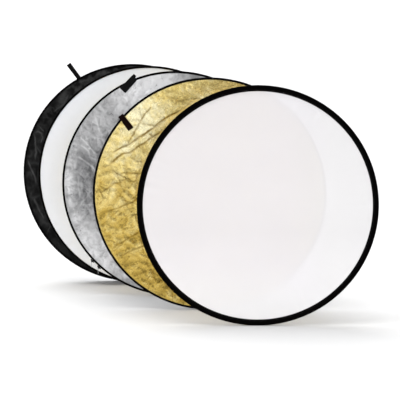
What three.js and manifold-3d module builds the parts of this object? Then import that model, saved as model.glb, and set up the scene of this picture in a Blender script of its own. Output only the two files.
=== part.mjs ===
// A set of five collapsible light discs for photography, open and standing on
// edge one behind the other in a staggered row: a translucent diffuser in front,
// then a gold, a silver, a white and a black disc. A diffuser is a ring of
// spring-steel band in a sewn binding, with a stretched cloth panel. The other
// four discs are such a ring in a two-faced cover that closes with a zip round
// a little over half of the rim, and each has a hanging strap of folded webbing.
//
// Every disc is drawn upright in a frame of its own: +X to the right, +Y to the
// back of the disc, +Z up, origin at the disc's centre. A rim angle is counted
// from +X towards +Z. The disc then leans back and stands in its place in the
// row. Everything is in millimetres.
import * as THREE from "three";
import { mergeVertices } from "three/addons/utils/BufferGeometryUtils.js";
import Module from "manifold-3d";

const wasm = await Module();
wasm.setup();

// ---- driving dimensions ----------------------------------------------------
const DISC_RADIUS = 550; // an open disc is 1100 mm across
const FACETS = 48; // each ring is drawn with this many flats, one at the bottom
const LEAN_DEG = 3; // how far each disc leans back
const FLOOR_FLAT = 0.25; // the bindings are pressed this flat, at least, where they stand

const PLACE = {
  // where each disc's centre is in plan, from the diffuser's
  diffuser: [0, 0],
  gold: [-217, 315],
  silver: [-382, 602],
  white: [-518, 845],
  black: [-601, 937],
};

const HOOP_R_IN = 545; // the spring-steel band stands on edge, as a barrel hoop does
const HOOP_R_OUT = 546;
const HOOP_HALF_WIDTH = 4;
const HOOP_END_GAP = 0.8; // between the band's two ends, inside the splice

const SPLICE_LENGTH = 40; // the crimped sleeve that joins the band's ends
const SPLICE_WALL = 0.4;
const SPLICE_GAP = 0.3;

const PANEL_HALF = 0.25; // half the thickness of a single cloth panel
const PANEL_RADIUS = 543.8;
const FOLD_GAP = 0.6; // between the two halves of the folding diffuser

const WIDE_BINDING_R_IN = 523; // the diffuser's 27 mm binding
const WIDE_BINDING_HALF = 6;
const WIDE_BINDING_WALL = 1;

const COVER_IN = 5.0; // a cover's face panel lies between these distances from the middle
const COVER_OUT = 5.4;
const COVER_RADIUS = 548.2;
const EDGE_R_IN = 540; // the covers' 10 mm edge binding
const EDGE_FACE_IN = 5.7;
const EDGE_FACE_OUT = 6.7;
const EDGE_WALL = 1.5;
const EDGE_TO_MIDDLE = 2.2; // each binding's wall ends this far from the middle

const ZIP_HALF_WIDTH = 1.9; // the zip's chain, between the two bindings
const ZIP_R_IN = 547.9;
const ZIP_R_OUT = 549.2;
const ZIP_HALF_ARC = 97; // degrees of chain to each side of the closed sliders
const SLIDER_SPREAD = 2.35; // each slider's angle from the point where they meet
const SLIDER_LENGTH = 22;
const SLIDER_WIDTH = 10;
const SLIDER_LIFT = 1.7; // clear of the rim's corners as it travels
const SLIDER_SHOULDER = 5.6;
const SLIDER_TOP = 7.4;
const EAR_TOP = 12.2;
const EAR_IN = 3.1;
const EAR_OUT = 4.4;
const PIN_HEIGHT = 10.2;
const PIN_R = 0.9;
const PULL_LENGTH = 27;
const PULL_WIDTH = 5.2;
const PULL_THICK = 2.2;
const PULL_EYE_R = 2.1;
const PULL_HOLE_R = 1.3;

const STRAP_THICK = 2.4; // webbing folded double
const STRAP_REST = 0.3; // a strap lies this clear of the binding's face

// The four covered discs: their faces, where the sliders meet, and the strap's
// root (rim angle, radius), its direction, length and width.
const COVERED = {
  gold: {
    front: "gold_foil",
    back: "silver_foil",
    zip: 315,
    strap: { at: 138.3, radius: 556, towards: 307.3, length: 77, width: 28, on: "face", slot: "brown_webbing" },
  },
  silver: {
    front: "silver_foil",
    back: "gold_foil",
    zip: 225.15,
    strap: { at: 110.1, radius: 557, towards: 227.2, length: 92, width: 35, on: "face", slot: "webbing" },
  },
  white: {
    front: "white_cloth",
    back: "black_cloth",
    zip: 298,
    strap: { at: 52, radius: 556, towards: 240, length: 88, width: 25, on: "face", slot: "webbing" },
  },
  black: {
    front: "black_cloth",
    back: "white_cloth",
    zip: 340,
    strap: { at: 119.2, radius: 552.2, towards: 126.5, length: 84, width: 22, on: "rim", slot: "webbing" },
  },
};

// ---- finishes ----------------------------------------------------------------
const finish = (color, roughness, metalness, more = {}) => () =>
  new THREE.MeshStandardMaterial({ color, roughness, metalness, ...more });
const FINISH = {
  diffuser_cloth: finish("#f0eeee", 0.7, 0, { transparent: true, opacity: 0.9 }),
  gold_foil: finish("#dcbc62", 0.32, 0.85),
  silver_foil: finish("#b4b4b6", 0.34, 0.85),
  white_cloth: finish("#ebebeb", 0.75, 0),
  black_cloth: finish("#262626", 0.85, 0),
  binding_tape: finish("#0a0a0a", 0.8, 0),
  spring_steel: finish("#8d9094", 0.3, 0.95),
  splice_steel: finish("#b9bcbf", 0.4, 0.95),
  zip_coil: finish("#141414", 0.55, 0),
  slider_metal: finish("#101011", 0.4, 0.6),
  pull_metal: finish("#c3c5c6", 0.35, 0.9),
  webbing: finish("#151413", 0.9, 0),
  brown_webbing: finish("#231710", 0.9, 0),
};

// ---- helpers -------------------------------------------------------------------
const rad = THREE.MathUtils.degToRad;
const TO_CORNER = 1 / Math.cos(Math.PI / FACETS); // a flat's radius to its corners'
const STEP_START = Math.PI / FACETS; // so that a flat, not a corner, is at the bottom

// The same closed surface with shared corners merged and its faces pointing out.
function closed(geometry) {
  const bare = geometry.clone();
  for (const name of Object.keys(bare.attributes)) {
    if (name !== "position") bare.deleteAttribute(name);
  }
  const merged = mergeVertices(bare, 1e-4);
  const p = merged.attributes.position;
  const corner = (i) => new THREE.Vector3().fromBufferAttribute(p, i);
  const faces = [];
  let volume = 0;
  for (let i = 0; i < merged.index.count; i += 3) {
    const [a, b, c] = [0, 1, 2].map((k) => merged.index.getX(i + k));
    if (a === b || b === c || c === a) continue;
    faces.push([a, b, c]);
    volume += corner(a).dot(corner(b).cross(corner(c)));
  }
  const out = new THREE.BufferGeometry();
  out.setAttribute("position", p);
  out.setIndex((volume < 0 ? faces.map(([a, b, c]) => [a, c, b]) : faces).flat());
  return out;
}

const solid = (geometry) => {
  const g = closed(geometry);
  return new wasm.Manifold(
    new wasm.Mesh({
      numProp: 3,
      vertProperties: new Float32Array(g.attributes.position.array),
      triVerts: new Uint32Array(g.index.array),
    }),
  );
};

const surface = (manifold) => {
  const mesh = manifold.getMesh();
  const g = new THREE.BufferGeometry();
  g.setAttribute("position", new THREE.BufferAttribute(mesh.vertProperties.slice(), 3));
  g.setIndex(new THREE.BufferAttribute(mesh.triVerts.slice(), 1));
  return g;
};

const cut = (a, ...tools) => surface(tools.reduce((s, t) => s.subtract(solid(t)), solid(a)));
const join = (a, ...others) => surface(others.reduce((s, t) => s.add(solid(t)), solid(a)));
const common = (a, b) => surface(solid(a).intersect(solid(b)));

// A ring of one cross-section, given as [radius, distance in front of the middle].
const ring = (section) =>
  closed(
    new THREE.LatheGeometry(
      [...section, section[0]].map(([r, front]) => new THREE.Vector2(r * TO_CORNER, -front)),
      FACETS,
      STEP_START,
    ),
  );
const band = (rIn, rOut, from, to) =>
  ring([
    [rIn, from],
    [rOut, from],
    [rOut, to],
    [rIn, to],
  ]);

// A round panel between two distances in front of the middle.
const panel = (radius, from, to) => {
  const g = new THREE.CylinderGeometry(
    radius * TO_CORNER,
    radius * TO_CORNER,
    to - from,
    FACETS,
    1,
    false,
    STEP_START,
  );
  return closed(g.translate(0, -(from + to) / 2, 0));
};

const block = (x0, x1, y0, y1, z0, z1) =>
  new THREE.BoxGeometry(x1 - x0, y1 - y0, z1 - z0).translate(
    (x0 + x1) / 2,
    (y0 + y1) / 2,
    (z0 + z1) / 2,
  );

// A flat outline in the disc's X-Z plane, extruded along Y from y0 to y1.
const plate = (outline, y0, y1, holes = []) => {
  const shape = new THREE.Shape(outline.map(([x, z]) => new THREE.Vector2(x, z)));
  for (const hole of holes) {
    shape.holes.push(new THREE.Path(hole.map(([x, z]) => new THREE.Vector2(x, z))));
  }
  const g = new THREE.ExtrudeGeometry(shape, { depth: y1 - y0, bevelEnabled: false, steps: 1 });
  return closed(g.translate(0, 0, -y1).rotateX(Math.PI / 2));
};

// The wedge of space between two rim angles.
const wedge = (fromDeg, toDeg) => {
  const outline = [[0, 0]];
  const steps = Math.ceil((toDeg - fromDeg) / 30);
  for (let i = 0; i <= steps; i++) {
    const a = rad(fromDeg + ((toDeg - fromDeg) * i) / steps);
    outline.push([700 * Math.cos(a), 700 * Math.sin(a)]);
  }
  return plate(outline, -30, 30);
};

const circle = (radius, count, x = 0, z = 0, turn = 0) =>
  Array.from({ length: count }, (_, i) => {
    const a = turn + (2 * Math.PI * i) / count;
    return [x + radius * Math.cos(a), z + radius * Math.sin(a)];
  });

// The height of a disc's centre, and the space under the floor as the disc sees it.
const lean = rad(LEAN_DEG);
const centreHeight = (half) => DISC_RADIUS * Math.cos(lean) - half * Math.sin(lean) - FLOOR_FLAT;
const underFloor = (half) =>
  new THREE.BoxGeometry(400, 100, 100).translate(0, -29, -50 - centreHeight(half)).rotateX(lean);

const mesh = (name, geometry, slot) => {
  geometry.computeVertexNormals();
  const m = new THREE.Mesh(geometry, FINISH[slot]());
  m.name = name;
  m.material.name = slot;
  return m;
};

// A mesh drawn with +Z pointing out of the rim, set at a rim angle and radius.
const atRim = (m, deg, radius) => {
  m.position.set(radius * Math.cos(rad(deg)), 0, radius * Math.sin(rad(deg)));
  m.rotation.y = rad(90 - deg);
  return m;
};

const discGroup = (name, half) => {
  const g = new THREE.Group();
  g.name = `${name}_disc`;
  g.position.set(PLACE[name][0], PLACE[name][1], centreHeight(half));
  g.rotation.x = -lean;
  return g;
};

// ---- pieces ----------------------------------------------------------------------
const hoop = () => band(HOOP_R_IN, HOOP_R_OUT, -HOOP_HALF_WIDTH, HOOP_HALF_WIDTH);

// A straight rectangular sleeve round the hoop's band, drawn with +Z outwards.
const splice = (name) => {
  const middle = (HOOP_R_IN + HOOP_R_OUT) / 2;
  const halfThick = (HOOP_R_OUT - HOOP_R_IN) / 2;
  const inner = [halfThick + SPLICE_GAP, HOOP_HALF_WIDTH + SPLICE_GAP];
  const outer = inner.map((v) => v + SPLICE_WALL);
  const half = SPLICE_LENGTH / 2;
  const sleeve = cut(
    block(-half, half, -outer[1], outer[1], -outer[0], outer[0]),
    block(-half - 1, half + 1, -inner[1], inner[1], -inner[0], inner[0]),
  );
  return [mesh(name, sleeve, "splice_steel"), middle];
};

const sliderGeometry = () => {
  const half = SLIDER_LENGTH / 2;
  const base = plate(
    [
      [-half, SLIDER_LIFT],
      [half, SLIDER_LIFT],
      [half, SLIDER_SHOULDER],
      [half - 2.8, SLIDER_TOP],
      [-half + 2.8, SLIDER_TOP],
      [-half, SLIDER_SHOULDER],
    ],
    -SLIDER_WIDTH / 2,
    SLIDER_WIDTH / 2,
  );
  const earOutline = [
    [-2.6, SLIDER_TOP - 0.6],
    [2.6, SLIDER_TOP - 0.6],
    [1.7, EAR_TOP],
    [-1.7, EAR_TOP],
  ];
  const pin = plate(circle(PIN_R, 8, 0, PIN_HEIGHT), -EAR_OUT + 0.2, EAR_OUT - 0.2);
  return join(base, plate(earOutline, -EAR_OUT, -EAR_IN), plate(earOutline, EAR_IN, EAR_OUT), pin);
};

// The pull's eye is at the origin, and the tab runs along +Z.
const pullGeometry = () => {
  const side = PULL_THICK / 2;
  const eye = [];
  for (let deg = 112.5; deg < 428; deg += 45) {
    eye.push([PULL_EYE_R * Math.cos(rad(deg)), PULL_EYE_R * Math.sin(rad(deg))]);
  }
  return plate(
    [...eye, [side, PULL_LENGTH], [-side, PULL_LENGTH]],
    -PULL_WIDTH / 2,
    PULL_WIDTH / 2,
    [circle(PULL_HOLE_R, 8, 0, 0, Math.PI / 8)],
  );
};

// A strap's outline in the disc's plane: its root edge follows the rim on a strap
// that stands on it, and is square on one that lies across the face.
const strapGeometry = ({ at, radius, towards, length, width, on }) => {
  const root = [radius * Math.cos(rad(at)), radius * Math.sin(rad(at))];
  const along = [Math.cos(rad(towards)), Math.sin(rad(towards))];
  const across = [-along[1], along[0]];
  const slip = on === "rim" ? Math.tan(rad(towards - at)) * (width / 2) : 0;
  const point = (s, w) => [
    root[0] + along[0] * s + across[0] * w,
    root[1] + along[1] * s + across[1] * w,
  ];
  const h = width / 2;
  const front = on === "rim" ? -STRAP_THICK / 2 : EDGE_FACE_OUT + STRAP_REST;
  return plate(
    [point(-slip, -h), point(length, -h), point(length, h), point(slip, h)],
    -(front + STRAP_THICK),
    -front,
  );
};

// ---- the diffuser, in two halves that fold forwards on its upright middle line -----
function diffuser() {
  const g = discGroup("diffuser", WIDE_BINDING_HALF);
  const w = WIDE_BINDING_WALL;
  const [rIn, h, r] = [WIDE_BINDING_R_IN, WIDE_BINDING_HALF, DISC_RADIUS];
  const binding = cut(
    ring([
      [rIn, 1.7],
      [541, h],
      [r, h],
      [r, -h],
      [541, -h],
      [rIn, -1.7],
      [rIn, -0.7],
      [541, -h + w],
      [r - 1.5, -h + w],
      [r - 1.5, h - w],
      [541, h - w],
      [rIn, 0.7],
    ]),
    underFloor(h),
  );
  const whole = {
    panel: [panel(PANEL_RADIUS, -PANEL_HALF, PANEL_HALF), "diffuser_cloth"],
    binding: [binding, "binding_tape"],
    hoop: [hoop(), "spring_steel"],
  };
  for (const [side, x0, x1] of [
    ["left", -FOLD_GAP / 2, 700],
    ["right", -700, FOLD_GAP / 2],
  ]) {
    for (const [what, [geometry, slot]] of Object.entries(whole)) {
      const half = cut(geometry, block(x0, x1, -30, 30, -700, 700));
      g.add(mesh(`diffuser_${what}_${side}`, half, slot));
    }
  }
  const [sleeve, middle] = splice("diffuser_hoop_splice");
  g.add(atRim(sleeve, 180, middle));
  return g;
}

// ---- a covered disc -----------------------------------------------------------------
function covered(name) {
  const { front, back, zip, strap } = COVERED[name];
  const g = discGroup(name, EDGE_FACE_OUT);
  const floor = underFloor(EDGE_FACE_OUT);
  const wallIn = DISC_RADIUS - EDGE_WALL;
  const edge = ring([
    [EDGE_R_IN, EDGE_FACE_IN],
    [EDGE_R_IN, EDGE_FACE_OUT],
    [DISC_RADIUS, EDGE_FACE_OUT],
    [DISC_RADIUS, EDGE_TO_MIDDLE],
    [wallIn, EDGE_TO_MIDDLE],
    [wallIn, EDGE_FACE_IN],
  ]);
  const backEdge = ring([
    [EDGE_R_IN, -EDGE_FACE_IN],
    [EDGE_R_IN, -EDGE_FACE_OUT],
    [DISC_RADIUS, -EDGE_FACE_OUT],
    [DISC_RADIUS, -EDGE_TO_MIDDLE],
    [wallIn, -EDGE_TO_MIDDLE],
    [wallIn, -EDGE_FACE_IN],
  ]);
  // away from the zip, the two bindings are sewn to each other
  const seam = common(
    band(wallIn, DISC_RADIUS, -EDGE_TO_MIDDLE - 0.5, EDGE_TO_MIDDLE - 0.3),
    wedge(zip + ZIP_HALF_ARC + 0.2, zip - ZIP_HALF_ARC - 0.2 + 360),
  );
  g.add(
    mesh(`${name}_front_panel`, panel(COVER_RADIUS, COVER_IN, COVER_OUT), front),
    mesh(`${name}_back_panel`, panel(COVER_RADIUS, -COVER_OUT, -COVER_IN), back),
    mesh(`${name}_front_binding`, cut(edge, floor), "binding_tape"),
    mesh(`${name}_back_binding`, cut(join(backEdge, seam), floor), "binding_tape"),
    mesh(
      `${name}_zip_chain`,
      common(
        band(ZIP_R_IN, ZIP_R_OUT, -ZIP_HALF_WIDTH, ZIP_HALF_WIDTH),
        wedge(zip - ZIP_HALF_ARC, zip + ZIP_HALF_ARC),
      ),
      "zip_coil",
    ),
    mesh(
      `${name}_spring_hoop`,
      cut(hoop(), block(500, 600, -30, 30, -HOOP_END_GAP / 2, HOOP_END_GAP / 2)),
      "spring_steel",
    ),
    mesh(`${name}_core_panel`, panel(PANEL_RADIUS, -PANEL_HALF, PANEL_HALF), "diffuser_cloth"),
  );
  const [sleeve, middle] = splice(`${name}_hoop_splice`);
  g.add(atRim(sleeve, 0, middle));
  for (const [letter, deg] of [
    ["a", zip - SLIDER_SPREAD],
    ["b", zip + SLIDER_SPREAD],
  ]) {
    g.add(
      atRim(mesh(`${name}_zip_slider_${letter}`, sliderGeometry(), "slider_metal"), deg, DISC_RADIUS),
    );
    // the pull hangs straight down from the slider's pin
    const pull = atRim(
      mesh(`${name}_zip_pull_${letter}`, pullGeometry(), "pull_metal"),
      deg,
      DISC_RADIUS + PIN_HEIGHT,
    );
    pull.rotation.y = Math.PI;
    g.add(pull);
  }
  g.add(mesh(`${name}_hang_strap`, strapGeometry(strap), strap.slot));
  return g;
}

// ---- the row, with its origin under the middle of its box --------------------------
const row = new THREE.Group();
row.name = "reflector_disc_row";
row.add(diffuser(), ...Object.keys(COVERED).map(covered));
row.updateMatrixWorld(true);
const box = new THREE.Box3().setFromObject(row, true);
row.position.set(-(box.min.x + box.max.x) / 2, -(box.min.y + box.max.y) / 2, -box.min.z);
row.updateMatrixWorld(true);

export default row;
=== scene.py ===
import math

import bmesh
import bpy
import numpy as np
from mathutils import Matrix, Vector


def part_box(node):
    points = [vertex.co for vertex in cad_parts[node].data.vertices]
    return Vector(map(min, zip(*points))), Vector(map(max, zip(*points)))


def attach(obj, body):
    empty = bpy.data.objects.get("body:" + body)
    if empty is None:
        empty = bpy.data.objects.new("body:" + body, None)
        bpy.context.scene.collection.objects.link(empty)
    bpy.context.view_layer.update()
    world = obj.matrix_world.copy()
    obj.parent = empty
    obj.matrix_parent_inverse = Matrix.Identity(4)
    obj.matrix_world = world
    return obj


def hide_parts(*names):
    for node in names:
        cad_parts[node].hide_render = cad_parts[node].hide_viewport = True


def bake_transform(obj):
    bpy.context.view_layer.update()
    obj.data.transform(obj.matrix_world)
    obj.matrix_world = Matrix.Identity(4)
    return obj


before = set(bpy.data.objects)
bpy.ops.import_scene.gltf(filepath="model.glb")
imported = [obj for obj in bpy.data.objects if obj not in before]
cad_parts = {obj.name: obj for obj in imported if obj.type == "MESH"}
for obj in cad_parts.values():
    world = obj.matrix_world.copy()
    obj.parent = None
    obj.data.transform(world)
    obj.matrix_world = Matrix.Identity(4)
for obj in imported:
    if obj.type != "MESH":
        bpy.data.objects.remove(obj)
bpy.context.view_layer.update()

# ---------------------------------------------------------------------------
# Frame: each disc has its own upright axes, (x, front, up), which lean back.
# ---------------------------------------------------------------------------
MM = 0.001
LEAN = math.radians(3)
UP = np.array([0, math.sin(LEAN), math.cos(LEAN)])
OUT = np.array([0, -math.cos(LEAN), math.sin(LEAN)])
ACROSS = np.array([1.0, 0, 0])
R = 550.0  # mm, an open disc's radius


def centre_of(*nodes):
    lows, highs = zip(*(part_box(n) for n in nodes))
    low = np.min([np.array(v) for v in lows], axis=0)
    high = np.max([np.array(v) for v in highs], axis=0)
    return (low + high) / 2


CENTRE = {"diffuser": centre_of("diffuser_panel_left", "diffuser_panel_right")}
for _n in ("gold", "silver", "white", "black"):
    CENTRE[_n] = centre_of(f"{_n}_core_panel")


def place(points, disc, floor=False):
    """Disc coordinates in mm, (x, front, up), to the row frame in metres."""
    p = np.asarray(points, float).reshape(-1, 3) * MM
    w = CENTRE[disc] + p[:, :1] * ACROSS + p[:, 1:2] * OUT + p[:, 2:] * UP
    if floor:  # the cloth is pressed flat where it stands
        w[:, 2] = np.maximum(w[:, 2], 0.00002)
    return w


# ---------------------------------------------------------------------------
# Mesh helpers
# ---------------------------------------------------------------------------
def new_mesh(name, verts, faces, attributes=None, smooth=True):
    """faces is a list of integer arrays, (n, 3) or (n, 4), or of lists."""
    me = bpy.data.meshes.new(name)
    verts = np.asarray(verts, np.float32)
    me.vertices.add(len(verts))
    me.vertices.foreach_set("co", verts.ravel())
    index, starts, at = [], [], 0
    for block in faces:
        block = np.asarray(block, np.int32)
        if block.ndim == 1:
            block = block[None, :]
        if not len(block):
            continue
        index.append(block.ravel())
        n, k = block.shape
        starts.append(at + np.arange(n, dtype=np.int32) * k)
        at += n * k
    index, starts = np.concatenate(index), np.concatenate(starts)
    me.loops.add(len(index))
    me.loops.foreach_set("vertex_index", index)
    me.polygons.add(len(starts))
    me.polygons.foreach_set("loop_start", starts)
    me.update(calc_edges=True)
    me.validate()
    for key, values in (attributes or {}).items():
        a = me.attributes.new(key, "FLOAT", "POINT")
        a.data.foreach_set("value", np.asarray(values, np.float32))
    if smooth:
        me.shade_smooth()
    else:
        me.shade_flat()
    ob = bpy.data.objects.new(name, me)
    bpy.context.scene.collection.objects.link(ob)
    return ob


def outward(verts, faces):
    """The same faces, turned round if a closed surface's faces point in."""
    volume = 0.0
    for block in faces:
        block = np.asarray(block)
        if block.ndim == 1:
            block = block[None, :]
        for k in range(1, block.shape[1] - 1):
            a, b, c = verts[block[:, 0]], verts[block[:, k]], verts[block[:, k + 1]]
            volume += float(np.einsum("ij,ij->i", a - verts[0], np.cross(b - verts[0], c - verts[0])).sum())
    if volume < 0:
        return [np.asarray(b)[..., ::-1] for b in faces]
    return faces


def grid_faces(rows, cols, wrap_rows=False, wrap_cols=False, first=0):
    i = np.arange(rows if wrap_rows else rows - 1)
    j = np.arange(cols if wrap_cols else cols - 1)
    ii, jj = np.meshgrid(i, j, indexing="ij")
    i2, j2 = (ii + 1) % rows, (jj + 1) % cols
    return (
        first
        + np.stack([ii * cols + jj, i2 * cols + jj, i2 * cols + j2, ii * cols + j2], -1).reshape(-1, 4)
    )


def wobble_of(seed, low, high, count, size):
    """A smooth closed function of the rim angle, built of sines."""
    g = np.random.default_rng(seed)
    k = g.integers(low, high, count)
    a = g.uniform(0.4, 1, count) / np.sqrt(count) * size
    p = g.uniform(0, 2 * np.pi, count)

    def value(t):
        t = np.asarray(t)[..., None]
        return (a * np.sin(k * t + p)).sum(-1)

    return value


def ring_points(section, angles, shift=None):
    """section: (k, 2) of radius and front. Gives (angles, k, 3) disc points."""
    section = np.asarray(section, float)
    r = np.broadcast_to(section[:, 0], (len(angles), len(section))).copy()
    f = np.broadcast_to(section[:, 1], (len(angles), len(section))).copy()
    if shift is not None:
        dr, df = shift(angles[:, None], r, f)
        r, f = r + dr, f + df
    return np.stack([r * np.cos(angles)[:, None], f, r * np.sin(angles)[:, None]], -1)


def ring(name, disc, section, steps=480, span=None, shift=None, floor=True):
    """A closed body of one cross-section round the rim, or over a span of it in degrees."""
    k = len(section)
    if span is None:
        angles = np.arange(steps) * 2 * np.pi / steps
    else:
        n = max(8, int(steps * (span[1] - span[0]) / 360))
        angles = np.radians(np.linspace(span[0], span[1], n))
    p = ring_points(section, angles, shift).reshape(-1, 3)
    faces = [grid_faces(len(angles), k, span is None, True)]
    if span is not None:
        last = (len(angles) - 1) * k
        faces += [np.arange(k)[::-1], last + np.arange(k)]
    verts = place(p, disc, floor)
    return new_mesh(name, verts, outward(verts, faces))


def round_sheet(radius, spacing):
    """A round sheet of even triangles: (x, z) points and faces, the rim a true circle."""
    rings = int(round(radius / spacing))
    pts = [np.zeros((1, 2))]
    faces = []
    start = [0]
    for k in range(1, rings + 1):
        n = 6 * k
        a = np.arange(n) * 2 * np.pi / n
        pts.append(np.stack([np.cos(a), np.sin(a)], -1) * radius * k / rings)
        start.append(start[-1] + (1 if k == 1 else 6 * (k - 1)))
    for k in range(1, rings + 1):
        o, i = start[k], start[k - 1]
        n, m = 6 * k, 6 * (k - 1)
        s = np.repeat(np.arange(6), k)
        j = np.tile(np.arange(k), 6)
        outer = s * k + j
        inner = s * (k - 1) + j
        if k == 1:
            faces.append(np.stack([np.zeros(6, int), o + outer, o + (outer + 1) % n], -1))
            continue
        faces.append(np.stack([i + inner % m, o + outer, o + (outer + 1) % n], -1))
        s = np.repeat(np.arange(6), k - 1)
        j = np.tile(np.arange(k - 1), 6)
        outer = s * k + j + 1
        inner = s * (k - 1) + j
        faces.append(np.stack([i + inner % m, o + outer % n, i + (inner + 1) % m], -1))
    return np.concatenate(pts), np.concatenate(faces)


def from_bmesh(name, bm, smooth=False):
    me = bpy.data.meshes.new(name)
    bm.normal_update()
    bm.to_mesh(me)
    bm.free()
    if smooth:
        me.shade_smooth()
    ob = bpy.data.objects.new(name, me)
    bpy.context.scene.collection.objects.link(ob)
    return ob


def applied(ob):
    """The object with its modifiers made real."""
    dg = bpy.context.evaluated_depsgraph_get()
    me = bpy.data.meshes.new_from_object(ob.evaluated_get(dg))
    old = ob.data
    ob.modifiers.clear()
    ob.data = me
    me.name = ob.name
    bpy.data.meshes.remove(old)
    return ob


def finish_piece(ob, body, material, replaces=()):
    ob.data.materials.clear()
    ob.data.materials.append(material)
    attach(ob, body)
    if replaces:
        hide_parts(*replaces)
    return ob


# ---------------------------------------------------------------------------
# Materials
# ---------------------------------------------------------------------------
class Nodes:
    """A short way to write a material's node tree."""

    def __init__(self, name):
        self.mat = bpy.data.materials.new(name)
        self.mat.use_nodes = True
        self.tree = self.mat.node_tree
        self.tree.nodes.clear()
        self.out = self.add("ShaderNodeOutputMaterial")

    def add(self, kind, **values):
        n = self.tree.nodes.new(kind)
        for key, v in values.items():
            if hasattr(n, key) and key not in n.inputs:
                setattr(n, key, v)
            else:
                self.put(n, key, v)
        return n

    def put(self, node, key, v):
        socket = node.inputs[key]
        if isinstance(v, bpy.types.NodeSocket):
            self.tree.links.new(v, socket)
        elif isinstance(v, bpy.types.Node):
            self.tree.links.new(v.outputs[0], socket)
        else:
            socket.default_value = v

    def coords(self, scale=1.0, rotate=(0, 0, 0)):
        c = self.add("ShaderNodeTexCoord")
        m = self.add("ShaderNodeMapping")
        self.put(m, "Vector", c.outputs["Object"])
        m.inputs["Scale"].default_value = scale if isinstance(scale, tuple) else (scale,) * 3
        m.inputs["Rotation"].default_value = rotate
        return m.outputs[0]

    def noise(self, scale, detail=3.0, rough=0.5, coords=None, distortion=0.0):
        n = self.add("ShaderNodeTexNoise")
        n.inputs["Scale"].default_value = scale
        n.inputs["Detail"].default_value = detail
        n.inputs["Roughness"].default_value = rough
        n.inputs["Distortion"].default_value = distortion
        self.put(n, "Vector", coords if coords is not None else self.coords())
        return n.outputs[0]

    def noise_colour(self, scale, detail):
        n = self.add("ShaderNodeTexNoise")
        n.inputs["Scale"].default_value = scale
        n.inputs["Detail"].default_value = detail
        self.put(n, "Vector", self.coords())
        return n.outputs["Color"]

    def wave(self, scale, coords, direction="X", distortion=0.0, detail=0.0):
        n = self.add("ShaderNodeTexWave")
        n.bands_direction = direction
        n.inputs["Scale"].default_value = scale
        n.inputs["Distortion"].default_value = distortion
        n.inputs["Detail"].default_value = detail
        self.put(n, "Vector", coords)
        return n.outputs["Fac"]

    def maths(self, operation, a, b=0.0, clamp=False):
        n = self.add("ShaderNodeMath")
        n.operation = operation
        n.use_clamp = clamp
        self.put(n, 0, a)
        self.put(n, 1, b)
        return n.outputs[0]

    def ramp(self, fac, stops, linear=True):
        n = self.add("ShaderNodeValToRGB")
        n.color_ramp.interpolation = "LINEAR" if linear else "EASE"
        while len(n.color_ramp.elements) < len(stops):
            n.color_ramp.elements.new(0.5)
        for e, (at, colour) in zip(n.color_ramp.elements, stops):
            e.position = at
            e.color = (*colour, 1) if not isinstance(colour, float) else (colour,) * 3 + (1,)
        self.put(n, "Fac", fac)
        return n.outputs[0]

    def mix(self, fac, a, b):
        n = self.add("ShaderNodeMix")
        n.data_type = "RGBA"
        self.put(n, 0, fac)
        for i, v in ((6, a), (7, b)):
            if isinstance(v, tuple) and len(v) == 3:
                v = (*v, 1)
            self.put(n, i, v)
        return n.outputs[2]

    def range(self, v, low, high, to_low, to_high):
        n = self.add("ShaderNodeMapRange")
        for key, value in zip(("Value", "From Min", "From Max", "To Min", "To Max"), (v, low, high, to_low, to_high)):
            self.put(n, key, value)
        return n.outputs[0]

    def attribute(self, name):
        n = self.add("ShaderNodeAttribute")
        n.attribute_name = name
        return n.outputs["Fac"]

    def bump(self, height, distance, strength=1.0, normal=None):
        n = self.add("ShaderNodeBump")
        n.inputs["Strength"].default_value = strength
        n.inputs["Distance"].default_value = distance
        self.put(n, "Height", height)
        if normal is not None:
            self.put(n, "Normal", normal)
        return n.outputs[0]

    def principled(self, **values):
        n = self.add("ShaderNodeBsdfPrincipled")
        for key, v in values.items():
            self.put(n, key.replace("_", " "), v)
        return n

    def finish(self, shader):
        self.put(self.out, "Surface", shader)
        return self.mat


def weave(n, pitch, coords=None):
    """A plain weave's height: two sets of threads, over and under by turns."""
    c = n.coords() if coords is None else coords
    a = n.wave(1 / pitch / 3.18, c, "X")
    b = n.wave(1 / pitch / 3.18, c, "Z")
    return n.maths("MULTIPLY", a, b)


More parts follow.
